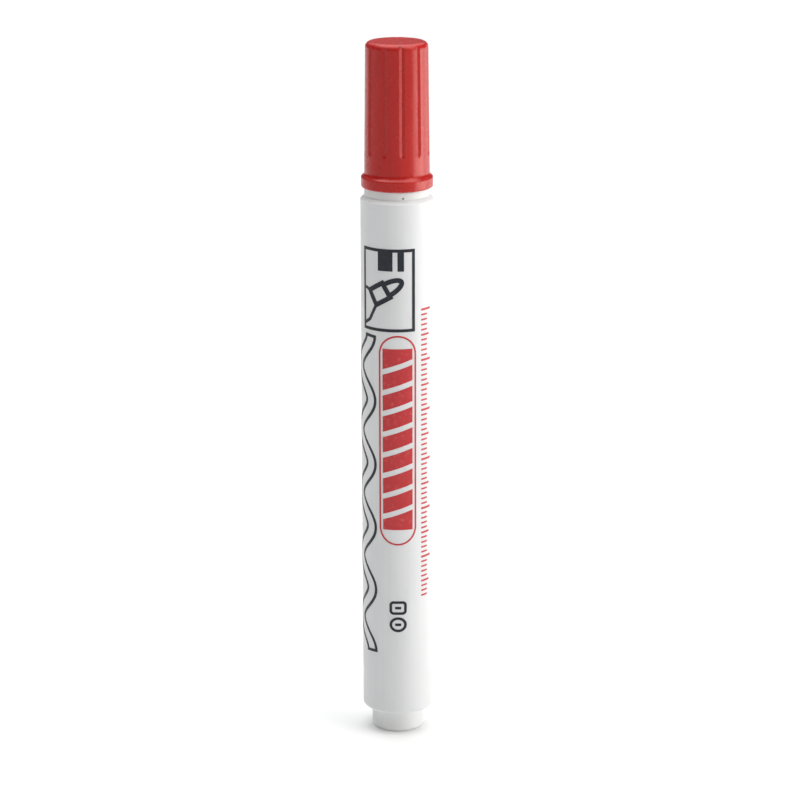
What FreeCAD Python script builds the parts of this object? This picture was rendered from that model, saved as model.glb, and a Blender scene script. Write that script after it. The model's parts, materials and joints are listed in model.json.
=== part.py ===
import FreeCAD, Part
import os
import Sketcher
from FreeCAD import Placement, Rotation, Vector

# A capped whiteboard marker standing on the boss of its tail plug.
# Millimetres. The origin is the centre of the boss's rest face and +Z runs up the marker's axis.

doc = FreeCAD.newDocument("board_marker")
sheet = doc.addObject("Spreadsheet::Sheet", "Sizes")

START, END = 1, 2
ORIGIN = -1
H_AXIS, V_AXIS = -1, -2
TOLERANCE = 1e-4


# ---------------------------------------------------------------------------------------------
# Sizes that know their own sheet formula
# ---------------------------------------------------------------------------------------------

class Size:
    """A length or angle together with the formula over the sheet that gives it."""

    def __init__(self, number, formula):
        self.number = number
        self.formula = formula

    def __add__(self, other):
        return Size(self.number + other.number, f"({self.formula} + {other.formula})")

    def __sub__(self, other):
        return Size(self.number - other.number, f"({self.formula} - {other.formula})")

    def __mul__(self, other):
        return Size(self.number * other.number, f"({self.formula} * {other.formula})")

    def __truediv__(self, other):
        return Size(self.number / other.number, f"({self.formula} / {other.formula})")


def driving(alias, number):
    """Put a driving dimension in the next row of the sheet."""
    row = driving.row
    driving.row += 1
    sheet.set(f"A{row}", alias)
    sheet.set(f"B{row}", str(number))
    sheet.setAlias(f"B{row}", alias)
    return Size(number, f"Sizes.{alias}")


driving.row = 1
ZERO = Size(0.0, "0")

# tail plug
boss_radius = driving("boss_radius", 5.19)
boss_length = driving("boss_length", 4.65)
boss_rounding = driving("boss_rounding", 0.8)
plug_floor = driving("plug_floor", 1.8)
plug_wall = driving("plug_wall", 0.95)
plug_depth = driving("plug_depth", 9.35)
plug_rib_width = driving("plug_rib_width", 0.8)
plug_rib_count = driving("plug_rib_count", 4)

# barrel
barrel_radius = driving("barrel_radius", 7.05)
barrel_length = driving("barrel_length", 104.05)
bore_radius = driving("bore_radius", 5.75)
shoulder_chamfer = driving("shoulder_chamfer", 0.72)
tail_rounding = driving("tail_rounding", 0.6)
rail_count = driving("rail_count", 6)
rail_width = driving("rail_width", 0.8)
rail_height = driving("rail_height", 0.5)
rail_margin = driving("rail_margin", 1.2)
root_depth = driving("root_depth", 0.3)

# front section
spigot_length = driving("spigot_length", 7.9)
spigot_lead = driving("spigot_lead", 0.35)
collar_radius = driving("collar_radius", 6.3)
collar_height = driving("collar_height", 1.55)
collar_rounding = driving("collar_rounding", 0.15)
neck_radius = driving("neck_radius", 5.2)
neck_height = driving("neck_height", 7.25)
bead_height = driving("bead_height", 0.15)
bead_offset = driving("bead_offset", 2.6)
bead_flat = driving("bead_flat", 0.6)
bead_flank = driving("bead_flank", 0.3)
cone_height = driving("cone_height", 6.0)
nose_radius = driving("nose_radius", 3.2)
nose_height = driving("nose_height", 5.0)
nose_chamfer = driving("nose_chamfer", 0.3)
chamber_radius = driving("chamber_radius", 4.1)
chamber_margin = driving("chamber_margin", 1.0)
chamber_cone = driving("chamber_cone", 3.0)
fin_count = driving("fin_count", 4)
fin_width = driving("fin_width", 0.7)
vent_width = driving("vent_width", 0.5)
vent_depth = driving("vent_depth", 0.35)
vent_angle = driving("vent_angle", 45)

# nib
nib_radius = driving("nib_radius", 2.2)
nib_reach = driving("nib_reach", 6.0)
nib_straight = driving("nib_straight", 1.9)
nib_taper = driving("nib_taper", 3.2)
nib_tip_radius = driving("nib_tip_radius", 1.0)
nib_tip_rounding = driving("nib_tip_rounding", 1.35)
nib_ogive = driving("nib_ogive", 8.0)
nib_lead = driving("nib_lead", 0.4)

# reservoir
core_radius = driving("core_radius", 5.05)
film_thickness = driving("film_thickness", 0.12)
reservoir_gap = driving("reservoir_gap", 0.8)

# cap
cap_seat_gap = driving("cap_seat_gap", 0.05)
cap_height = driving("cap_height", 27.7)
cap_base_radius = driving("cap_base_radius", 6.28)
cap_top_radius = driving("cap_top_radius", 5.97)
cap_top_rounding = driving("cap_top_rounding", 1.1)
cap_roof = driving("cap_roof", 1.8)
flange_radius = driving("flange_radius", 6.9)
flange_height = driving("flange_height", 1.95)
flange_slope = driving("flange_slope", 0.6)
flange_rounding = driving("flange_rounding", 0.25)
flange_blend = driving("flange_blend", 0.8)
mouth_radius = driving("mouth_radius", 5.4)
mouth_depth = driving("mouth_depth", 7.7)
mouth_lead = driving("mouth_lead", 0.3)
mouth_cone = driving("mouth_cone", 3.0)
socket_radius = driving("socket_radius", 4.45)
groove_depth = driving("groove_depth", 0.23)
groove_width = driving("groove_width", 1.0)
groove_below_roof = driving("groove_below_roof", 5.3)

# flutes in the cap
flute_count = driving("flute_count", 11)
flute_first_angle = driving("flute_first_angle", 279.5)
flute_width = driving("flute_width", 1.2)
flute_depth = driving("flute_depth", 0.24)
flute_reach = driving("flute_reach", 1.0)
flute_foot = driving("flute_foot", 6.15)
flute_runout = driving("flute_runout", 0.6)
flute_overrun = driving("flute_overrun", 1.0)

# inner cap
sleeve_clearance = driving("sleeve_clearance", 0.06)
sleeve_overlap = driving("sleeve_overlap", 4.5)
sleeve_lead = driving("sleeve_lead", 0.3)
seal_height = driving("seal_height", 12.1)
seal_radius = driving("seal_radius", 4.4)
seal_step = driving("seal_step", 5.0)
seal_chamber_radius = driving("seal_chamber_radius", 2.75)
seal_roof = driving("seal_roof", 1.2)
ring_height = driving("ring_height", 0.17)
ring_width = driving("ring_width", 0.8)
ring_flank = driving("ring_flank", 0.15)
ring_below_top = driving("ring_below_top", 5.3)

# levels along the axis, worked out from the driving dimensions
barrel_tail = boss_length
barrel_front = barrel_tail + barrel_length
plug_top = barrel_tail + plug_depth
collar_top = barrel_front + collar_height
spigot_end = barrel_front - spigot_length
neck_top = collar_top + neck_height
nose_base = neck_top + cone_height
nose_top = nose_base + nose_height
bead_foot = collar_top + bead_offset
chamber_top = neck_top - chamber_margin
nib_bore_foot = chamber_top + chamber_cone
reservoir_foot = plug_top
reservoir_top = spigot_end - reservoir_gap
nib_rear = reservoir_top - nib_reach
nib_shoulder = nose_top + nib_straight
nib_tip = nib_shoulder + nib_taper
cap_mouth = collar_top + cap_seat_gap
cap_top = cap_mouth + cap_height
flange_top = cap_mouth + flange_height
cap_base = flange_top + flange_slope
cap_ceiling = cap_top - cap_roof
mouth_top = cap_mouth + mouth_depth
socket_foot = mouth_top + mouth_cone
groove_top = cap_ceiling - groove_below_roof
groove_foot = groove_top - groove_width
seal_foot = nose_top - sleeve_overlap
seal_top = seal_foot + seal_height
seal_ceiling = seal_top - seal_roof
ring_top = seal_top - ring_below_top
ring_foot = ring_top - ring_width
flute_foot_level = cap_mouth + flute_foot
flute_full_level = flute_foot_level + flute_runout


# ---------------------------------------------------------------------------------------------
# Sketch and feature helpers
# ---------------------------------------------------------------------------------------------

def new_body(label):
    body = doc.addObject("PartDesign::Body", label)
    body.Label = label
    body.Placement = Placement(Vector(0, 0, 0), Rotation())
    return body


def datum(body, role):
    """The body's own origin plane or axis with this role."""
    return next(feature for feature in body.Origin.OriginFeatures if feature.Role == role)


def bind(sketch, kind, size, *references):
    """Add a dimension whose value comes from the sheet."""
    index = sketch.addConstraint(Sketcher.Constraint(kind, *references, size.number))
    sketch.setExpression(f"Constraints[{index}]", size.formula)


def place(sketch, geometry, spot, across, up):
    """Hold one point of a piece of geometry at its two distances from the sketch's origin."""
    for kind, size, axis in (("DistanceX", across, V_AXIS), ("DistanceY", up, H_AXIS)):
        if size.number == 0:
            sketch.addConstraint(Sketcher.Constraint("PointOnObject", geometry, spot, axis))
        else:
            bind(sketch, kind, size, ORIGIN, START, geometry, spot)


def close_outline(sketch, corners):
    """Draw straight lines round the corners and join their ends."""
    for first, second in zip(corners, corners[1:] + corners[:1]):
        sketch.addGeometry(Part.LineSegment(first, second), False)
    for line in range(len(corners)):
        following = (line + 1) % len(corners)
        sketch.addConstraint(Sketcher.Constraint("Coincident", line, END, following, START))


def axial_sketch(body, name, outline):
    """Half section of a round piece: each corner is a radius and a height."""
    sketch = body.newObject("Sketcher::SketchObject", name)
    sketch.AttachmentSupport = [(datum(body, "XZ_Plane"), "")]
    sketch.MapMode = "FlatFace"
    close_outline(sketch, [Vector(radius.number, height.number, 0) for radius, height in outline])
    for line, (radius, height) in enumerate(outline):
        place(sketch, line, START, radius, height)
    return sketch


def level_sketch(body, name, level, angle=None):
    """Empty sketch across the axis at a height, turned about the axis by an angle."""
    sketch = body.newObject("Sketcher::SketchObject", name)
    sketch.AttachmentSupport = [(datum(body, "XY_Plane"), "")]
    sketch.MapMode = "FlatFace"
    turn = Rotation(Vector(0, 0, 1), angle.number if angle else 0)
    sketch.AttachmentOffset = Placement(Vector(0, 0, level.number), turn)
    sketch.setExpression("AttachmentOffset.Base.z", level.formula)
    if angle:
        sketch.setExpression("AttachmentOffset.Rotation.Angle", angle.formula)
    return sketch


def bar_sketch(body, name, level, inner, outer, width, angle=None):
    """Rectangle along the sketch's X axis, from one radius to another and centred on the axis."""
    sketch = level_sketch(body, name, level, angle)
    half = width.number / 2
    corners = [(inner.number, -half), (outer.number, -half), (outer.number, half), (inner.number, half)]
    close_outline(sketch, [Vector(x, y, 0) for x, y in corners])
    for line, kind in enumerate(("Horizontal", "Vertical", "Horizontal")):
        sketch.addConstraint(Sketcher.Constraint(kind, line))
    sketch.addConstraint(Sketcher.Constraint("Symmetric", 0, START, 3, START, H_AXIS))
    bind(sketch, "DistanceY", width, 1, START, 1, END)
    bind(sketch, "DistanceX", outer, ORIGIN, START, 1, START)
    if inner.number == 0:
        sketch.addConstraint(Sketcher.Constraint("PointOnObject", 0, START, V_AXIS))
    else:
        bind(sketch, "DistanceX", inner, ORIGIN, START, 0, START)
    return sketch


def vee_sketch(body, name, level, tip, reach, mouth, angle):
    """Triangle whose tip points at the axis from one radius, and whose mouth is open outwards."""
    sketch = level_sketch(body, name, level, angle)
    outer = tip.number + reach.number
    half = mouth.number / 2
    close_outline(sketch, [Vector(tip.number, 0, 0), Vector(outer, -half, 0), Vector(outer, half, 0)])
    place(sketch, 0, START, tip, ZERO)
    sketch.addConstraint(Sketcher.Constraint("Symmetric", 1, START, 1, END, H_AXIS))
    bind(sketch, "DistanceX", reach, 0, START, 1, START)
    bind(sketch, "DistanceY", mouth, 1, START, 1, END)
    return sketch


def revolve(body, name, outline):
    sketch = axial_sketch(body, name + "_outline", outline)
    feature = body.newObject("PartDesign::Revolution", name)
    feature.Profile = sketch
    feature.ReferenceAxis = (sketch, ["V_Axis"])
    feature.Angle = 360
    doc.recompute()
    return feature


def pad(body, name, sketch, length):
    feature = body.newObject("PartDesign::Pad", name)
    feature.Profile = sketch
    feature.Length = length.number
    feature.setExpression("Length", length.formula)
    doc.recompute()
    return feature


def pocket(body, name, sketch, depth):
    """Cut downwards from the sketch."""
    before = body.Shape.Volume
    feature = body.newObject("PartDesign::Pocket", name)
    feature.Profile = sketch
    feature.Length = depth.number
    feature.setExpression("Length", depth.formula)
    doc.recompute()
    if not body.Shape.Volume < before:
        raise RuntimeError(f"{name} cuts nothing")
    return feature


def cut_loft(body, name, lower, upper):
    before = body.Shape.Volume
    feature = body.newObject("PartDesign::SubtractiveLoft", name)
    feature.Profile = lower
    feature.Sections = [upper]
    feature.Ruled = True
    doc.recompute()
    if not body.Shape.Volume < before:
        raise RuntimeError(f"{name} cuts nothing")
    return feature


def repeat_round(body, name, originals, count):
    """Repeat features at equal angles about the marker's axis."""
    feature = body.newObject("PartDesign::PolarPattern", name)
    feature.Originals = originals
    feature.Axis = (datum(body, "Z_Axis"), [""])
    feature.Angle = 360
    feature.Occurrences = int(count.number)
    feature.setExpression("Occurrences", count.formula)
    body.Tip = feature
    doc.recompute()
    return feature


def rim(feature, radius, level):
    """The name of the round edge with this radius at this height."""
    for index, edge in enumerate(feature.Shape.Edges, start=1):
        curve = edge.Curve
        if not isinstance(curve, Part.Circle):
            continue
        same_radius = abs(curve.Radius - radius.number) < TOLERANCE
        if same_radius and abs(curve.Center.z - level.number) < TOLERANCE:
            return f"Edge{index}"
    raise RuntimeError(f"{feature.Name} has no rim of radius {radius.number} at {level.number}")


def round_rim(body, name, base, radius, level, rounding):
    feature = body.newObject("PartDesign::Fillet", name)
    feature.Base = (base, [rim(base, radius, level)])
    feature.Radius = rounding.number
    feature.setExpression("Radius", rounding.formula)
    doc.recompute()
    return feature


# ---------------------------------------------------------------------------------------------
# The pieces
# ---------------------------------------------------------------------------------------------

def make_tail_plug():
    """Plug in the barrel's rear bore; its boss sticks out and carries the standing marker."""
    body = new_body("tail_plug")
    cup_radius = boss_radius - plug_wall
    turned = revolve(body, "plug_turned", [
        (ZERO, ZERO),
        (boss_radius, ZERO),
        (boss_radius, barrel_tail),
        (bore_radius, barrel_tail),
        (bore_radius, plug_top - spigot_lead),
        (bore_radius - spigot_lead, plug_top),
        (cup_radius, plug_top),
        (cup_radius, plug_floor),
        (ZERO, plug_floor),
    ])
    round_rim(body, "plug_boss_rounding", turned, boss_radius, ZERO, boss_rounding)
    rib = bar_sketch(body, "plug_rib_section", plug_floor - root_depth, ZERO, cup_radius + root_depth,
                     plug_rib_width)
    ribs = pad(body, "plug_rib", rib, plug_top - plug_floor + root_depth)
    repeat_round(body, "plug_ribs", [ribs], plug_rib_count)
    return body


def make_barrel():
    """Straight tube with a chamfered front shoulder and rails that centre the reservoir."""
    body = new_body("barrel")
    tube = revolve(body, "barrel_tube", [
        (bore_radius, barrel_tail),
        (barrel_radius, barrel_tail),
        (barrel_radius, barrel_front - shoulder_chamfer),
        (barrel_radius - shoulder_chamfer, barrel_front),
        (bore_radius, barrel_front),
    ])
    round_rim(body, "barrel_tail_rounding", tube, barrel_radius, barrel_tail, tail_rounding)
    foot = plug_top + rail_margin
    rail = bar_sketch(body, "rail_section", foot, bore_radius - rail_height, bore_radius + root_depth,
                      rail_width)
    rails = pad(body, "rail", rail, spigot_end - rail_margin - foot)
    repeat_round(body, "rails", [rails], rail_count)
    return body


def make_front_section():
    """Nib holder: spigot, collar that shows below the cap, beaded neck, cone and nose."""
    body = new_body("front_section")
    bead_radius = neck_radius + bead_height
    bead_low = bead_foot + bead_flank
    bead_high = bead_low + bead_flat
    turned = revolve(body, "holder_turned", [
        (chamber_radius, spigot_end),
        (bore_radius - spigot_lead, spigot_end),
        (bore_radius, spigot_end + spigot_lead),
        (bore_radius, barrel_front),
        (collar_radius, barrel_front),
        (collar_radius, collar_top),
        (neck_radius, collar_top),
        (neck_radius, bead_foot),
        (bead_radius, bead_low),
        (bead_radius, bead_high),
        (neck_radius, bead_high + bead_flank),
        (neck_radius, neck_top),
        (nose_radius, nose_base),
        (nose_radius, nose_top - nose_chamfer),
        (nose_radius - nose_chamfer, nose_top),
        (nib_radius, nose_top),
        (nib_radius, nib_bore_foot),
        (chamber_radius, chamber_top),
    ])
    round_rim(body, "collar_rounding_top", turned, collar_radius, collar_top, collar_rounding)
    foot = spigot_end + rail_margin
    fin = bar_sketch(body, "fin_section", foot, nib_radius, chamber_radius + root_depth, fin_width)
    fins = pad(body, "fin", fin, nib_bore_foot - foot)
    repeat_round(body, "fins", [fins], fin_count)
    vent = bar_sketch(body, "vent_section", nose_top, nib_radius - root_depth, nib_radius + vent_depth,
                      vent_width, vent_angle)
    vents = pocket(body, "vent", vent, nose_top - nib_bore_foot + root_depth)
    repeat_round(body, "vents", [vents], fin_count)
    return body


def make_nib():
    """Bullet nib whose rear end reaches into the reservoir."""
    body = new_body("nib")
    turned = revolve(body, "nib_ground", [
        (ZERO, nib_rear),
        (nib_radius - nib_lead, nib_rear),
        (nib_radius, nib_rear + nib_lead),
        (nib_radius, nib_shoulder),
        (nib_tip_radius, nib_tip),
        (ZERO, nib_tip),
    ])
    tip = round_rim(body, "nib_tip_round", turned, nib_tip_radius, nib_tip, nib_tip_rounding)
    round_rim(body, "nib_ogive_round", tip, nib_radius, nib_shoulder, nib_ogive)
    return body


def make_reservoir_core():
    """Rod of fibre wadding with the pocket that the nib presses into it."""
    body = new_body("reservoir_core")
    revolve(body, "core_rod", [
        (ZERO, reservoir_foot),
        (core_radius, reservoir_foot),
        (core_radius, reservoir_top),
        (nib_radius, reservoir_top),
        (nib_radius, nib_rear + nib_lead),
        (nib_radius - nib_lead, nib_rear),
        (ZERO, nib_rear),
    ])
    return body


def part_cylinder(name, radius, height, foot):
    cylinder = doc.addObject("Part::Cylinder", name)
    cylinder.setExpression("Radius", radius.formula)
    cylinder.setExpression("Height", height.formula)
    cylinder.setExpression("Placement.Base.z", foot.formula)
    return cylinder


def make_reservoir_film():
    """Thin plastic tube round the wadding."""
    height = reservoir_top - reservoir_foot
    outside = part_cylinder("film_outside", core_radius + film_thickness, height, reservoir_foot)
    inside = part_cylinder("film_inside", core_radius, height, reservoir_foot)
    film = doc.addObject("Part::Cut", "reservoir_film")
    film.Label = "reservoir_film"
    film.Base = outside
    film.Tool = inside
    film.Placement = Placement(Vector(0, 0, 0), Rotation())
    doc.recompute()
    return film


def cap_wall(level):
    """Radius of the cap's drafted wall at a height."""
    draft = (cap_base_radius - cap_top_radius) / (cap_top - cap_base)
    return cap_base_radius - draft * (level - cap_base)


def make_cap_shell():
    """Outer cap: flanged mouth, drafted body with flutes, and a socket for the inner cap."""
    body = new_body("cap_shell")
    groove_radius = socket_radius + groove_depth
    turned = revolve(body, "cap_turned", [
        (mouth_radius + mouth_lead, cap_mouth),
        (flange_radius, cap_mouth),
        (flange_radius, flange_top),
        (cap_base_radius, cap_base),
        (cap_top_radius, cap_top),
        (ZERO, cap_top),
        (ZERO, cap_ceiling),
        (socket_radius, cap_ceiling),
        (socket_radius, groove_top),
        (groove_radius, groove_top),
        (groove_radius, groove_foot),
        (socket_radius, groove_foot),
        (socket_radius, socket_foot),
        (mouth_radius, mouth_top),
        (mouth_radius, cap_mouth + mouth_lead),
    ])
    crown = round_rim(body, "cap_top_round", turned, cap_top_radius, cap_top, cap_top_rounding)
    lip = round_rim(body, "flange_low_round", crown, flange_radius, cap_mouth, flange_rounding)
    ledge = round_rim(body, "flange_high_round", lip, flange_radius, flange_top, flange_rounding)
    round_rim(body, "flange_blend_round", ledge, cap_base_radius, cap_base, flange_blend)

    # A flute is a V-shaped channel whose tip keeps one depth inside the drafted wall, until the
    # channel runs out of the wall at its foot.
    over_top = cap_top + flute_overrun
    mouth = flute_width * flute_reach / flute_depth
    foot = vee_sketch(body, "flute_foot_section", flute_foot_level,
                      cap_wall(flute_foot_level), flute_reach, mouth, flute_first_angle)
    full = vee_sketch(body, "flute_full_section", flute_full_level,
                      cap_wall(flute_full_level) - flute_depth, flute_reach, mouth, flute_first_angle)
    top = vee_sketch(body, "flute_top_section", over_top,
                     cap_wall(over_top) - flute_depth, flute_reach, mouth, flute_first_angle)
    runout = cut_loft(body, "flute_runout_cut", foot, full)
    channel = cut_loft(body, "flute_channel_cut", full, top)
    repeat_round(body, "flutes", [runout, channel], flute_count)
    return body


def make_inner_cap():
    """Sealing cap that slides over the nose and is held by its ring in the outer cap's groove."""
    body = new_body("inner_cap")
    sleeve_radius = nose_radius + sleeve_clearance
    ring_radius = seal_radius + ring_height
    revolve(body, "seal_turned", [
        (sleeve_radius + sleeve_lead, seal_foot),
        (seal_radius, seal_foot),
        (seal_radius, ring_foot),
        (ring_radius, ring_foot + ring_flank),
        (ring_radius, ring_top - ring_flank),
        (seal_radius, ring_top),
        (seal_radius, seal_top),
        (ZERO, seal_top),
        (ZERO, seal_ceiling),
        (seal_chamber_radius, seal_ceiling),
        (seal_chamber_radius, seal_foot + seal_step),
        (sleeve_radius, seal_foot + seal_step),
        (sleeve_radius, seal_foot + sleeve_lead),
    ])
    return body


pieces = [
    make_tail_plug(),
    make_barrel(),
    make_front_section(),
    make_nib(),
    make_reservoir_core(),
    make_reservoir_film(),
    make_cap_shell(),
    make_inner_cap(),
]
doc.recompute()

for item in doc.Objects:
    if "Invalid" in item.State or "Error" in item.State:
        raise RuntimeError(f"{item.Name} failed: {item.State}")
for piece in pieces:
    if piece.Shape.isNull() or not piece.Shape.isValid():
        raise RuntimeError(f"{piece.Label} has no valid shape")

os.makedirs("parts", exist_ok=True)
for piece in pieces:
    piece.Shape.exportStep(f"parts/{piece.Label}.step")
    box = piece.Shape.optimalBoundingBox(False, False)
    print(f"{piece.Label:15s} solids {len(piece.Shape.Solids)}  volume {piece.Shape.Volume:9.2f}  "
          f"z {box.ZMin:7.3f} to {box.ZMax:7.3f}  radius {box.XMax:.3f}")
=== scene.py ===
"""A capped whiteboard marker: finishes, print, floor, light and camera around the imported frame.

Lengths are metres. +Z runs up the marker, and -Y is its front.
"""

import json
import math

import bpy
from mathutils import Matrix, Vector


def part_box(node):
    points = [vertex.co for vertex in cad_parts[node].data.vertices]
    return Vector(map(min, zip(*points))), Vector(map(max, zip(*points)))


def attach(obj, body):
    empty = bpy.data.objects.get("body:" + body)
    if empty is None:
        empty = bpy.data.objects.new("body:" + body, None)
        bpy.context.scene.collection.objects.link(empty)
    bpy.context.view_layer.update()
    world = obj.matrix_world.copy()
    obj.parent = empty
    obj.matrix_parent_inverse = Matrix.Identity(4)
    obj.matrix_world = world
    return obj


MM = 0.001

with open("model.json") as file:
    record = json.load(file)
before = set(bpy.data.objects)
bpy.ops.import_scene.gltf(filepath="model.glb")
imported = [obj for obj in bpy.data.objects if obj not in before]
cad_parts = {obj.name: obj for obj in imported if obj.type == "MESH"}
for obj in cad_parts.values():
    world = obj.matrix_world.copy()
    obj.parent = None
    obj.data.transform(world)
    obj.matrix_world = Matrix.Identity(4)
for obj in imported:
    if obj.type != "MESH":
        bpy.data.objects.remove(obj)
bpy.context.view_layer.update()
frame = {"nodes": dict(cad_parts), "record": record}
barrel_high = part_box("barrel")[1]
collar_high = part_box("front_section")[1]
cap_low, cap_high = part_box("cap_shell")
nib_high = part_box("nib")[1]

WALL = barrel_high.x
TOP = barrel_high.z


# ---------------------------------------------------------------- finishes


class Finish:
    """The material of one slot: its Principled shader, and the nodes that vary it over the surface."""

    def __init__(self, slot, **fixed):
        self.material = bpy.data.materials.new(slot)
        self.material.use_nodes = True
        self.tree = self.material.node_tree
        self.shader = self.tree.nodes["Principled BSDF"]
        self.place = self.add("TexCoord").outputs["Object"]
        for socket, value in fixed.items():
            self.shader.inputs[socket.replace("_", " ")].default_value = value

    def add(self, kind, **settings):
        """A new node, with its own settings."""
        node = self.tree.nodes.new("ShaderNode" + kind)
        for name, value in settings.items():
            setattr(node, name, value)
        return node

    def feed(self, socket, value):
        """Joins another node's output to a socket, or sets the socket to a plain value."""
        if isinstance(value, bpy.types.NodeSocket):
            self.tree.links.new(value, socket)
        else:
            socket.default_value = value

    def math(self, operation, a, b=0.0):
        """The result of a Math node's operation on two numbers or sockets."""
        node = self.add("Math", operation=operation)
        self.feed(node.inputs[0], a)
        self.feed(node.inputs[1], b)
        return node.outputs[0]

    def spread(self, value, low, high, at_low=0.0, at_high=1.0):
        """Goes smoothly from at_low to at_high as value goes from low to high, and is level outside."""
        node = self.add("MapRange", interpolation_type="SMOOTHSTEP")
        limits = {"From Min": low, "From Max": high, "To Min": at_low, "To Max": at_high}
        for name, number in limits.items():
            node.inputs[name].default_value = number
        self.feed(node.inputs["Value"], value)
        return node.outputs["Result"]

    def blend(self, share, first, second):
        """The first colour where share is 0, the second where it is 1."""
        node = self.add("Mix", data_type="RGBA")
        self.feed(node.inputs["Factor"], share)
        self.feed(node.inputs[6], first)
        self.feed(node.inputs[7], second)
        return node.outputs[2]

    def noise(self, size, stretch=(1, 1, 1), detail=2.0, seed=0.0):
        """Soft noise from 0 to 1 in patches about size across, and longer along an axis by stretch."""
        mapping = self.add("Mapping")
        mapping.inputs["Scale"].default_value = [1 / (size * s) for s in stretch]
        mapping.inputs["Location"].default_value = (seed, 2 * seed, 3 * seed)
        self.feed(mapping.inputs["Vector"], self.place)
        node = self.add("TexNoise")
        node.inputs["Scale"].default_value = 1.0
        node.inputs["Detail"].default_value = detail
        self.feed(node.inputs["Vector"], mapping.outputs["Vector"])
        return node.outputs["Fac"]

    def specks(self, spacing, size, share):
        """1 in small round specks of that size, in a share of the cells that are spacing across."""
        node = self.add("TexVoronoi")
        node.inputs["Scale"].default_value = 1 / spacing
        self.feed(node.inputs["Vector"], self.place)
        near = self.spread(node.outputs["Distance"], 0.3 * size / spacing, 0.5 * size / spacing, 1, 0)
        split = self.add("SeparateColor")
        self.feed(split.inputs["Color"], node.outputs["Color"])
        return self.math("MULTIPLY", near, self.math("GREATER_THAN", split.outputs[0], 1 - share))

    def spot(self, place, size):
        """1 within one round spot of that size at a place."""
        node = self.add("VectorMath", operation="DISTANCE")
        self.feed(node.inputs[0], self.place)
        node.inputs[1].default_value = place
        return self.spread(node.outputs["Value"], 0.35 * size, 0.5 * size, 1, 0)

    def scratches(self, length, width, amount, seed=0.0):
        """1 along fine scratches up the marker, at two slight slants. Amount is the share they cover."""
        total = None
        for slant in (-0.35, 0.5):
            turn = self.add("Mapping")
            turn.inputs["Rotation"].default_value = (slant, 0.4 * slant, 0)
            self.feed(turn.inputs["Vector"], self.place)
            straight, self.place = self.place, turn.outputs["Vector"]
            line = self.noise(width, stretch=(1, 1, length / width), detail=1.0, seed=seed + slant)
            self.place = straight
            line = self.spread(line, 1 - amount, 1 - 0.6 * amount)
            total = line if total is None else self.math("MAXIMUM", total, line)
        return total

    def height(self):
        """How far up the marker, in metres."""
        split = self.add("SeparateXYZ")
        self.feed(split.inputs["Vector"], self.place)
        return split.outputs["Z"]

    def colour(self, value):
        """Sets the surface's colour."""
        self.feed(self.shader.inputs["Base Color"], value)

    def roughness(self, value):
        """Sets the surface's roughness."""
        self.feed(self.shader.inputs["Roughness"], value)

    def relief(self, *layers):
        """Bump from pairs of a 0 to 1 pattern and its height in metres."""
        total = 0.0
        for pattern, tall in layers:
            total = self.math("ADD", total, self.math("MULTIPLY", pattern, tall))
        bump = self.add("Bump")
        bump.inputs["Distance"].default_value = 1.0
        self.feed(bump.inputs["Height"], total)
        self.feed(self.shader.inputs["Normal"], bump.outputs["Normal"])


def around(angle, radius, up):
    """The point at an angle from the front, towards +X, and a radius from the axis."""
    return (radius * math.sin(angle), -radius * math.cos(angle), up)


def moulded_white(slot, clean, shade, gloss, seed, gate):
    """White polypropylene: satin, a little see-through, with scuffs and rare dark specks.

    gate is the place of the gate mark that the moulding left, or None.
    """
    finish = Finish(
        slot, IOR=1.49, Specular_IOR_Level=0.3, Subsurface_Weight=0.12, Subsurface_Scale=1.2 * MM
    )
    finish.shader.inputs["Subsurface Radius"].default_value = (1.0, 0.95, 0.9)
    cloud = finish.noise(9 * MM, stretch=(1, 1, 2.2), detail=3.0, seed=seed)
    streak = finish.noise(0.7 * MM, stretch=(1, 1, 40), detail=2.0, seed=seed + 1)
    tone = finish.math("ADD", finish.math("MULTIPLY", cloud, 0.7), finish.math("MULTIPLY", streak, 0.3))
    colour = finish.blend(finish.spread(tone, 0.35, 0.68), clean, shade)
    colour = finish.blend(finish.specks(16 * MM, 0.22 * MM, 0.22), colour, (0.16, 0.15, 0.14, 1))
    if gate:
        colour = finish.blend(finish.spot(gate, 0.52 * MM), colour, (0.27, 0.25, 0.23, 1))
    finish.colour(colour)
    scuff = finish.scratches(7 * MM, 0.09 * MM, 0.34, seed=seed + 2)
    haze = finish.noise(4 * MM, detail=4.0, seed=seed + 3)
    rough = finish.spread(haze, 0.3, 0.7, gloss, gloss + 0.1)
    finish.roughness(finish.math("ADD", rough, finish.math("MULTIPLY", scuff, 0.12)))
    peel = finish.noise(0.45 * MM, detail=2.0, seed=seed + 4)
    wave = finish.noise(5 * MM, stretch=(1, 1, 3), detail=1.0, seed=seed + 5)
    finish.relief((peel, 0.004 * MM), (wave, 0.03 * MM), (scuff, -0.002 * MM))
    return finish.material


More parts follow.
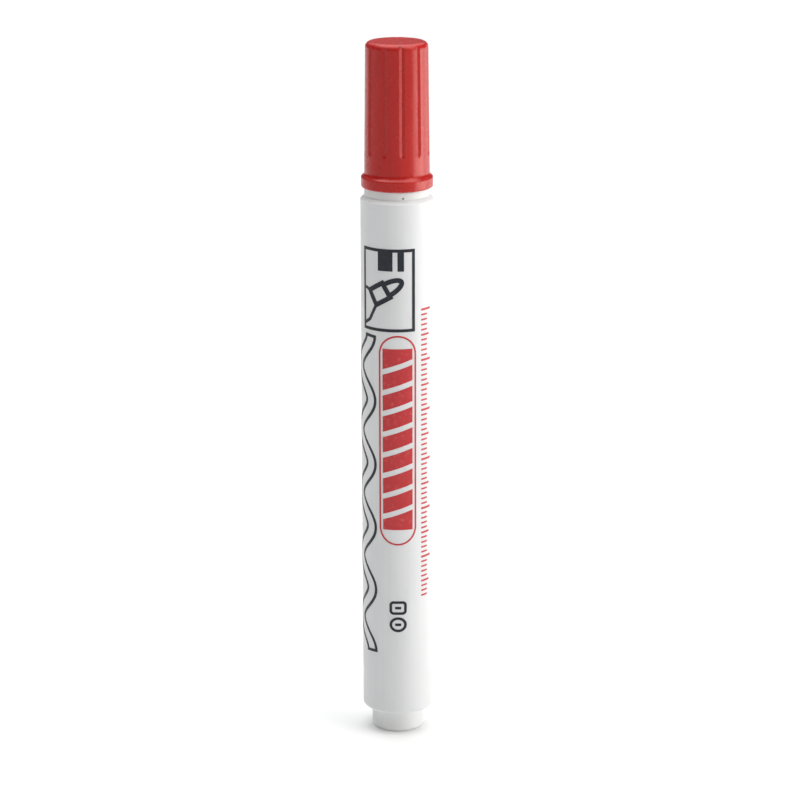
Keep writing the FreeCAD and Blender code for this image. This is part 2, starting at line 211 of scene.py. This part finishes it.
def moulded_red():
    """Glossy red polypropylene: flow marks up the cap, rubbed rims, fine scuffs, rare dark specks, and a
    painted shadow where a flute's top cuts the crown.
    """
    finish = Finish(
        "cap_plastic",
        IOR=1.49,
        Specular_IOR_Level=0.68,
        Subsurface_Weight=0.06,
        Subsurface_Scale=0.6 * MM,
    )
    finish.shader.inputs["Specular Tint"].default_value = (1.0, 0.57, 0.53, 1)
    finish.shader.inputs["Subsurface Radius"].default_value = (1.0, 0.25, 0.2)
    flow = finish.noise(2.6 * MM, stretch=(1, 1, 6), detail=3.0, seed=4.0)
    deep, light = (0.410, 0.007, 0.006, 1), (0.445, 0.010, 0.008, 1)
    colour = finish.blend(finish.spread(flow, 0.25, 0.75), deep, light)
    height = finish.height()
    near_top = finish.spread(height, cap_high.z - 1.3 * MM, cap_high.z - 0.5 * MM)
    off_top_face = finish.spread(height, cap_high.z - 0.25 * MM, cap_high.z - 0.02 * MM, 1, 0)
    crown = finish.math("MULTIPLY", near_top, off_top_face)
    skirt = finish.spread(height, cap_low.z + 0.35 * MM, cap_low.z + 0.05 * MM)
    patchy = finish.spread(finish.noise(1.1 * MM, detail=4.0, seed=5.0), 0.42, 0.66)
    rubbed = finish.math("MULTIPLY", finish.math("MAXIMUM", crown, skirt), patchy)
    colour = finish.blend(finish.math("MULTIPLY", rubbed, 0.25), colour, (0.56, 0.05, 0.05, 1))
    colour = finish.blend(finish.specks(7 * MM, 0.24 * MM, 0.14), colour, (0.16, 0.008, 0.010, 1))
    # A painted shadow: a dark spot at the left edge of the flute nearest the front, where its top end cuts
    # into the crown's rounding.
    notch_shadow_radius = 5.62 * MM
    notch_shadow = around(math.radians(5.5), notch_shadow_radius, cap_high.z - 0.3 * MM)
    colour = finish.blend(finish.spot(notch_shadow, 0.6 * MM), colour, (0.13, 0.006, 0.008, 1))
    finish.colour(colour)
    scuff = finish.scratches(4 * MM, 0.08 * MM, 0.33, seed=6.0)
    haze = finish.noise(3 * MM, detail=4.0, seed=7.0)
    rough = finish.spread(haze, 0.3, 0.7, 0.23, 0.29)
    worn = finish.math("ADD", finish.math("MULTIPLY", scuff, 0.08), finish.math("MULTIPLY", rubbed, 0.06))
    finish.roughness(finish.math("ADD", rough, worn))
    peel = finish.noise(0.5 * MM, detail=1.0, seed=8.0)
    wave = finish.noise(3 * MM, stretch=(1, 1, 4), detail=1.0, seed=9.0)
    finish.relief((peel, 0.0008 * MM), (wave, 0.012 * MM), (scuff, -0.001 * MM))
    return finish.material


def natural_seal():
    """Unpigmented polyethylene: milky, waxy and slightly yellow."""
    finish = Finish("seal_plastic", IOR=1.51, Subsurface_Weight=0.5, Subsurface_Scale=1.5 * MM)
    cloud = finish.noise(3 * MM, detail=3.0, seed=11.0)
    clean, shade = (0.80, 0.81, 0.76, 1), (0.72, 0.73, 0.67, 1)
    finish.colour(finish.blend(finish.spread(cloud, 0.3, 0.7), clean, shade))
    finish.roughness(finish.spread(finish.noise(1.5 * MM, detail=4.0, seed=12.0), 0.3, 0.7, 0.38, 0.52))
    finish.relief((finish.noise(0.4 * MM, seed=13.0), 0.004 * MM))
    return finish.material


def inked_fibre():
    """Bonded fibre soaked with red ink: fine strands up the nib, darker and wetter towards the tip."""
    finish = Finish("nib_fibre", Specular_IOR_Level=0.35, Sheen_Weight=0.25, Sheen_Roughness=0.5)
    strand = finish.noise(0.07 * MM, stretch=(1, 1, 22), detail=3.0, seed=21.0)
    soak = finish.noise(1.4 * MM, stretch=(1, 1, 2), detail=3.0, seed=22.0)
    dark, pale = (0.30, 0.008, 0.016, 1), (0.55, 0.03, 0.045, 1)
    colour = finish.blend(finish.spread(strand, 0.35, 0.68), dark, pale)
    wet = finish.spread(finish.height(), nib_high.z - 6 * MM, nib_high.z - 1 * MM)
    shade = finish.math("MULTIPLY", finish.math("ADD", wet, soak), 0.42)
    finish.colour(finish.blend(shade, colour, (0.16, 0.004, 0.010, 1)))
    finish.roughness(finish.math("SUBTRACT", 0.86, finish.math("MULTIPLY", wet, 0.32)))
    finish.relief((strand, 0.05 * MM), (soak, 0.02 * MM))
    return finish.material


def inked_wadding():
    """Loose fibre stained red: long strands, with paler ones that hold less ink."""
    finish = Finish("wadding", Specular_IOR_Level=0.2, Sheen_Weight=0.4, Sheen_Roughness=0.6)
    strand = finish.noise(0.12 * MM, stretch=(1, 1, 30), detail=4.0, seed=31.0)
    stain = finish.noise(6 * MM, stretch=(1, 1, 2), detail=3.0, seed=32.0)
    colour = finish.blend(finish.spread(strand, 0.3, 0.7), (0.42, 0.03, 0.05, 1), (0.78, 0.25, 0.27, 1))
    finish.colour(finish.blend(finish.spread(stain, 0.35, 0.7, 0, 0.6), colour, (0.36, 0.02, 0.04, 1)))
    finish.roughness(finish.spread(strand, 0.3, 0.7, 0.95, 0.8))
    finish.relief((strand, 0.12 * MM))
    return finish.material


def clear_film():
    """Thin clear film round the wadding, with soft wrinkles."""
    finish = Finish("film", IOR=1.49, Alpha=0.35)
    haze = finish.noise(2 * MM, detail=3.0, seed=41.0)
    finish.colour(finish.blend(finish.spread(haze, 0.3, 0.7), (0.90, 0.92, 0.93, 1), (0.80, 0.83, 0.85, 1)))
    finish.roughness(finish.spread(haze, 0.3, 0.7, 0.12, 0.25))
    finish.relief((finish.noise(1.2 * MM, stretch=(1, 1, 6), detail=2.0, seed=42.0), 0.04 * MM))
    return finish.material


def printed_ink(slot, full, thin, seed):
    """Screen-printed ink: slightly uneven cover, with pinholes and a dry edge where the ink is thin."""
    finish = Finish(slot, IOR=1.5, Specular_IOR_Level=0.4)
    cover = finish.noise(0.9 * MM, detail=4.0, seed=seed)
    grain = finish.noise(0.1 * MM, detail=3.0, seed=seed + 1)
    patchy = finish.math("ADD", finish.math("MULTIPLY", cover, 0.6), finish.math("MULTIPLY", grain, 0.4))
    finish.colour(finish.blend(finish.spread(patchy, 0.5, 0.72), full, thin))
    finish.roughness(finish.spread(cover, 0.3, 0.7, 0.34, 0.5))
    finish.relief((grain, 0.004 * MM))
    return finish.material


def make_finishes():
    """Every finish by its slot name, in place of the plain ones that came with the frame."""
    for plain in list(bpy.data.materials):
        bpy.data.materials.remove(plain)
    gate = around(math.radians(10.5), collar_high.x, TOP + 0.35 * MM)
    whites = (
        ("barrel_plastic", (0.75, 0.755, 0.76, 1), (0.72, 0.725, 0.73, 1), 0.30, 1.0, None),
        ("holder_plastic", (0.80, 0.81, 0.80, 1), (0.76, 0.77, 0.76, 1), 0.34, 1.7, gate),
        ("plug_plastic", (0.84, 0.85, 0.84, 1), (0.80, 0.81, 0.80, 1), 0.36, 2.9, None),
    )
    made = (
        *(moulded_white(*white) for white in whites),
        moulded_red(),
        natural_seal(),
        inked_fibre(),
        inked_wadding(),
        clear_film(),
        printed_ink("print_black", (0.008, 0.010, 0.018, 1), (0.03, 0.034, 0.05, 1), 51.0),
        printed_ink("print_red", (0.52, 0.026, 0.030, 1), (0.60, 0.09, 0.09, 1), 53.0),
    )
    return {material.name: material for material in made}


def dress_nodes(finishes):
    """Gives each CAD node the finish of its slot in the record."""
    slots = {part["node"]: part["material_slot"] for part in frame["record"]["subparts"]}
    for name, node in frame["nodes"].items():
        node.data.materials.clear()
        node.data.materials.append(finishes[slots[name]])


# ------------------------------------------------------------------- print
# The print is thin raised ink on the barrel's wall. A place on the wall is (s, z): s is the distance
# round the wall from its front line, towards +X, and z is the height on the marker.

INK_TOP = 0.03 * MM
INK_FOOT = -0.03 * MM
STEP = 0.35 * MM


def on_wall(s, z, proud):
    """The point at a place on the wall, proud of it by that much."""
    return around(s / WALL, WALL + proud, z)


def straight(*corners, closed=False):
    """Straight runs between corners, with a point at least every STEP."""
    ends = corners[1:] + corners[:1] if closed else corners[1:]
    points = []
    for (s0, z0), (s1, z1) in zip(corners, ends):
        count = max(1, math.ceil(math.hypot(s1 - s0, z1 - z0) / STEP))
        shares = [i / count for i in range(count)]
        points += [(s0 + (s1 - s0) * share, z0 + (z1 - z0) * share) for share in shares]
    return points if closed else points + [corners[-1]]


def arc(centre, reach_s, reach_z, start, end, count):
    """Points along an ellipse's arc, with angles in degrees from the s direction."""
    angles = [math.radians(start + (end - start) * i / count) for i in range(count + 1)]
    return [(centre[0] + reach_s * math.cos(a), centre[1] + reach_z * math.sin(a)) for a in angles]


def stroke(path, width, closed=False):
    """The two edges of a line of that width along path, mitred at its corners."""
    count = len(path)
    left, right = [], []
    for i, (s, z) in enumerate(path):
        before = path[i - 1] if closed or i else path[i]
        after = path[(i + 1) % count] if closed or i < count - 1 else path[i]
        normals = []
        for (s0, z0), (s1, z1) in ((before, (s, z)), ((s, z), after)):
            run = math.hypot(s1 - s0, z1 - z0)
            if run > 0:
                normals.append(Vector((z0 - z1, s1 - s0)) / run)
        across = sum(normals, Vector((0, 0))).normalized()
        half = width / 2 / max(0.5, across.dot(normals[0]))
        left.append((s + across.x * half, z + across.y * half))
        right.append((s - across.x * half, z - across.y * half))
    return left, right, closed


def patch(first, last, low, high):
    """The upper and lower edges of a solid patch from s = first to s = last, each edge a function of s."""
    count = max(1, math.ceil((last - first) / STEP))
    places = [first + (last - first) * i / count for i in range(count + 1)]
    return [(s, high(s)) for s in places], [(s, low(s)) for s in places], False


def print_piece(name, slot, finishes, bands):
    """One printed piece. A band is (left edge, right edge, closed) and makes a thin closed solid."""
    points, faces = [], []
    for left, right, closed in bands:
        first, count = len(points), len(left)
        for edge_left, edge_right in zip(left, right):
            points += [on_wall(*edge_left, INK_TOP), on_wall(*edge_right, INK_TOP)]
            points += [on_wall(*edge_right, INK_FOOT), on_wall(*edge_left, INK_FOOT)]
        for i in range(count if closed else count - 1):
            here, there = first + 4 * i, first + 4 * ((i + 1) % count)
            for side in range(4):
                across = (side + 1) % 4
                faces.append((here + side, here + across, there + across, there + side))
        if not closed:
            last = first + 4 * (count - 1)
            faces += [(first + 3, first + 2, first + 1, first), (last, last + 1, last + 2, last + 3)]
    mesh = bpy.data.meshes.new(name)
    mesh.from_pydata(points, [], faces)
    mesh.materials.append(finishes[slot])
    piece = bpy.data.objects.new(name, mesh)
    bpy.context.scene.collection.objects.link(piece)
    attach(piece, "barrel")


PANEL_LEFT = -7.45 * MM
PANEL_RIGHT = 3.2 * MM
PANEL_TOP = TOP - 9.55 * MM
PANEL_HEIGHT = 15.6 * MM
FRAME_LINE = 0.6 * MM
SAMPLE_LENGTH = 4.0 * MM
BROAD_SAMPLE = (-3.86 * MM, -0.89 * MM)
NARROW_SAMPLE = (0.06 * MM, 1.30 * MM)


def print_panel(finishes):
    """The tip-shape panel: a frame, with a broad and a narrow line sample hanging in it."""
    low = PANEL_TOP - PANEL_HEIGHT
    corners = ((PANEL_LEFT, low), (PANEL_RIGHT, low), (PANEL_RIGHT, PANEL_TOP), (PANEL_LEFT, PANEL_TOP))
    bands = [stroke(straight(*corners, closed=True), FRAME_LINE, closed=True)]
    for first, last in (BROAD_SAMPLE, NARROW_SAMPLE):
        bands.append(patch(first, last, lambda s: PANEL_TOP - SAMPLE_LENGTH, lambda s: PANEL_TOP))
    print_piece("print_panel", "print_black", finishes, bands)


NIB_ANGLE = math.radians(30)
NIB_AT = (-2.15 * MM, TOP - 17.25 * MM)
COLLAR_LENGTH = 3.35 * MM
COLLAR_HALF = 1.58 * MM
BULLET_LENGTH = 3.4 * MM
BULLET_HALF = 1.2 * MM
LOWER_CONE = ((0, 0), (-1.6 * MM, -3.0 * MM), (-3.0 * MM, -3.9 * MM))
UPPER_CONE = ((0, 0), (-1.2 * MM, 0.45 * MM))
SYMBOL_LINE = 0.94 * MM
CONE_LINE = 0.62 * MM


def print_symbol(finishes):
    """A bullet nib in outline, pointing up and to the right: tip, collar, and the cone behind it."""

    def turned(along, aside):
        """The place at a distance along the nib from its collar's front, and a distance to its left."""
        across = along * math.cos(NIB_ANGLE) - aside * math.sin(NIB_ANGLE)
        upward = along * math.sin(NIB_ANGLE) + aside * math.cos(NIB_ANGLE)
        return (NIB_AT[0] + across, NIB_AT[1] + upward)

    tip = [turned(u, v) for u, v in arc((0, 0), BULLET_LENGTH, BULLET_HALF, -90, 90, 28)]
    upper_front, upper_back = turned(0, COLLAR_HALF), turned(-COLLAR_LENGTH, COLLAR_HALF)
    lower_back, lower_front = turned(-COLLAR_LENGTH, -COLLAR_HALF), turned(0, -COLLAR_HALF)
    collar = straight(upper_front, upper_back, lower_back, lower_front, closed=True)
    bands = [stroke(tip, SYMBOL_LINE), stroke(collar, SYMBOL_LINE, closed=True)]
    for corner, bends in ((lower_back, LOWER_CONE), (upper_back, UPPER_CONE)):
        line = [(corner[0] + across, corner[1] + upward) for across, upward in bends]
        bands.append(stroke(straight(*line), CONE_LINE))
    print_piece("print_symbol", "print_black", finishes, bands)


CAPSULE_HALF = 3.57 * MM
CAPSULE_TOP = TOP - 26.3 * MM
CAPSULE_LOW = TOP - 68.3 * MM
CAPSULE_LINE = 0.34 * MM
BAND_HALF = 2.95 * MM
BAND_TOP = TOP - 28.8 * MM
BAND_LOW = TOP - 65.3 * MM
STRIPE_COUNT = 9
STRIPE_GAP = 1.1 * MM
STRIPE_RISE = 0.34


def print_capsule(finishes):
    """A long capsule in outline."""
    top, low = CAPSULE_TOP - CAPSULE_HALF, CAPSULE_LOW + CAPSULE_HALF
    upper = arc((0, top), CAPSULE_HALF, CAPSULE_HALF, 0, 180, 40)
    lower = arc((0, low), CAPSULE_HALF, CAPSULE_HALF, 180, 360, 40)
    left_side = straight(upper[-1], lower[0])[1:-1]
    right_side = straight(lower[-1], upper[0])[1:-1]
    outline = stroke(upper + left_side + lower + right_side, CAPSULE_LINE, closed=True)
    print_piece("print_capsule", "print_red", finishes, [outline])


def print_stripes(finishes):
    """The band of slanted stripes inside the capsule, cut square at its two ends."""
    pitch = (BAND_TOP - BAND_LOW + STRIPE_GAP) / STRIPE_COUNT
    stripes = []
    for i in range(STRIPE_COUNT):
        low_edge = BAND_LOW + i * pitch
        high_edge = low_edge + pitch - STRIPE_GAP
        tilt_low = 0 if i == 0 else STRIPE_RISE
        tilt_high = 0 if i == STRIPE_COUNT - 1 else STRIPE_RISE
        stripe = patch(
            -BAND_HALF, BAND_HALF, lambda s: low_edge + tilt_low * s, lambda s: high_edge + tilt_high * s
        )
        stripes.append(stripe)
    print_piece("print_stripes", "print_red", finishes, stripes)


SCALE_START = 4.95 * MM
SCALE_TOP = TOP - 21.4 * MM
SCALE_PITCH = 1.0 * MM
SCALE_COUNT = 59
# A tick's length and thickness. LONG_TICKS has the two longer kinds by the last digit of the count.
SHORT_TICK = (1.6 * MM, 0.34 * MM)
LONG_TICKS = {0: (2.65 * MM, 0.42 * MM), 5: (2.2 * MM, 0.38 * MM)}


def print_scale(finishes):
    """A millimetre scale down the right side, with longer ticks every 5 and 10."""
    bands = []
    for i in range(SCALE_COUNT):
        length, thick = LONG_TICKS.get(i % 10, SHORT_TICK)
        low = SCALE_TOP - i * SCALE_PITCH - thick / 2
        bands.append(patch(SCALE_START, SCALE_START + length, lambda s: low, lambda s: low + thick))
    print_piece("print_scale", "print_red", finishes, bands)


WAVE_MIDDLE = -7.7 * MM
WAVE_SWING = 1.9 * MM
WAVE_LENGTH = 12.9 * MM
WAVE_HALF = 1.15 * MM
WAVE_TOP = TOP - 26.6 * MM
WAVE_COUNT = 5
WAVE_LINE = 0.6 * MM


def print_wave(finishes):
    """A wavy ribbon in outline down the left side."""
    count = math.ceil(WAVE_COUNT * WAVE_LENGTH / STEP)
    middle = []
    for i in range(count + 1):
        waves = WAVE_COUNT * i / count
        across = WAVE_SWING * math.cos(2 * math.pi * waves)
        middle.append((WAVE_MIDDLE + across, WAVE_TOP - WAVE_LENGTH * waves))
    left, right, _ = stroke(middle, 2 * WAVE_HALF)
    low_end = straight(left[-1], right[-1])[1:-1]
    high_end = straight(right[0], left[0])[1:-1]
    outline = left + low_end + right[::-1] + high_end
    print_piece("print_wave", "print_black", finishes, [stroke(outline, WAVE_LINE, closed=True)])


MARK_LINE = 0.54 * MM
SQUARE_AT = TOP - 81.5 * MM
SQUARE_HALF = (1.45 * MM, 1.15 * MM)
SQUARE_CORNER = 0.55 * MM
RING_AT = TOP - 85.0 * MM
RING_RADII = (1.45 * MM, 1.3 * MM)
BAR_HALF = 0.6 * MM


def print_marks(finishes):
    """Two small class marks near the tail: a rounded square over a ring, each with a bar in it."""
    wide, tall = (half - SQUARE_CORNER for half in SQUARE_HALF)
    square = []
    for quarter, (s, z) in enumerate(((wide, tall), (-wide, tall), (-wide, -tall), (wide, -tall))):
        start = 90 * quarter
        square += arc((s, SQUARE_AT + z), SQUARE_CORNER, SQUARE_CORNER, start, start + 90, 6)
    ring = arc((0, RING_AT), *RING_RADII, 0, 360, 40)[:-1]
    bands = []
    for outline, middle in ((straight(*square, closed=True), SQUARE_AT), (ring, RING_AT)):
        bands.append(stroke(outline, MARK_LINE, closed=True))
        bands.append(stroke(straight((-BAR_HALF, middle), (BAR_HALF, middle)), MARK_LINE))
    print_piece("print_marks", "print_black", finishes, bands)


# --------------------------------------------------- floor, light, camera

FLOOR_WHITE = (0.77, 0.77, 0.77, 1)
FLOOR_REACH = 40.0
FLOOR_GLOW = 0.11
FAR_GLOW = 0.75
# The glow grows with the distance from GLOW_CENTRE, between GLOW_START and GLOW_END.
GLOW_CENTRE = (0, 0.25, 0)
GLOW_START = 0.65
GLOW_END = 1.2


def make_floor():
    """A plain white floor that glows a little, as a light table does, and more where the lights end."""
    bpy.ops.mesh.primitive_circle_add(vertices=96, radius=FLOOR_REACH, fill_type="NGON")
    floor = bpy.context.object
    floor.name = "floor"
    finish = Finish("floor_white", Base_Color=FLOOR_WHITE, Roughness=0.9, Specular_IOR_Level=0.1)
    finish.shader.inputs["Emission Color"].default_value = (1, 1, 1, 1)
    away = finish.add("VectorMath", operation="DISTANCE")
    finish.feed(away.inputs[0], finish.place)
    away.inputs[1].default_value = GLOW_CENTRE
    glow = finish.spread(away.outputs["Value"], GLOW_START, GLOW_END, FLOOR_GLOW, FAR_GLOW)
    finish.feed(finish.shader.inputs["Emission Strength"], glow)
    floor.data.materials.append(finish.material)


def softbox(name, place, aim, width, height, radiance, colour=(1, 1, 1)):
    """A rectangular area light that the camera can't see. Radiance 1 would show as full white."""
    light = bpy.data.lights.new(name, "AREA")
    light.shape = "RECTANGLE"
    light.size = width
    light.size_y = height
    light.energy = radiance * math.pi * width * height
    light.color = colour
    lamp = bpy.data.objects.new(name, light)
    lamp.location = place
    lamp.rotation_euler = (Vector(aim) - Vector(place)).to_track_quat("-Z", "Y").to_euler()
    lamp.visible_camera = False
    bpy.context.scene.collection.objects.link(lamp)


WARM = (1.0, 0.985, 0.955)
SIDE_REACH = 0.34
# Each light's name, its angle from the front in degrees, its height, its two sizes and its radiance.
SIDE_LIGHTS = (
    ("light_key", 84, 0.080, 0.26, 0.155, 2.95),
    ("light_wide", 98, 0.070, 0.52, 0.13, 1.05),
)


def light_scene():
    """Two low softboxes close on the right, one high in that corner, and soft light from all round."""
    for name, angle, up, width, height, radiance in SIDE_LIGHTS:
        place = around(math.radians(angle), SIDE_REACH, up)
        softbox(name, place, (0, 0, up), width, height, radiance, WARM)
    corner = around(math.radians(65), 0.45, 0.5)
    softbox("light_corner", corner, (0, 0, 0.1), 0.4, 0.4, 2.3, WARM)
    softbox("light_above", (0, 0.2, 1.0), (0, 0.2, 0), 1.3, 1.1, 3.25)
    softbox("light_back", (0, 1.1, 0.8), (0, 1.35, 0), 1.4, 1.0, 1.35)
    softbox("light_low_back", (0, 2.0, 0.7), (0, 0, 0.14), 2.4, 0.7, 0.09)
    softbox("light_front", (-0.15, -0.6, 0.75), (0, 0, 0.1), 0.8, 0.6, 0.44)
    world = bpy.data.worlds.new("room")
    world.use_nodes = True
    background = world.node_tree.nodes["Background"]
    background.inputs["Color"].default_value = (0.93, 0.965, 1.0, 1)
    background.inputs["Strength"].default_value = 0.1
    bpy.context.scene.world = world
    bpy.context.scene.view_settings.view_transform = "Standard"


# The camera's place, how far it looks down, its roll, and its lens and sensor in millimetres.
CAMERA_AT = (0.47 * MM, -495.4 * MM, 210.6 * MM)
CAMERA_DOWN = math.radians(16.08)
CAMERA_ROLL = math.radians(-0.14)
CAMERA_LENS = 118.9
SENSOR_WIDTH = 36.0


def place_camera():
    """A long lens in front of the marker and above its top, looking down at its middle."""
    camera = bpy.data.objects.new("camera", bpy.data.cameras.new("camera"))
    camera.data.lens = CAMERA_LENS
    camera.data.sensor_width = SENSOR_WIDTH
    tilt = Matrix.Rotation(math.pi / 2 - CAMERA_DOWN, 4, "X") @ Matrix.Rotation(CAMERA_ROLL, 4, "Z")
    camera.matrix_world = Matrix.Translation(CAMERA_AT) @ tilt
    bpy.context.scene.collection.objects.link(camera)
    bpy.context.scene.camera = camera


finishes = make_finishes()
dress_nodes(finishes)
print_panel(finishes)
print_symbol(finishes)
print_capsule(finishes)
print_stripes(finishes)
print_scale(finishes)
print_wave(finishes)
print_marks(finishes)
make_floor()
light_scene()
place_camera()
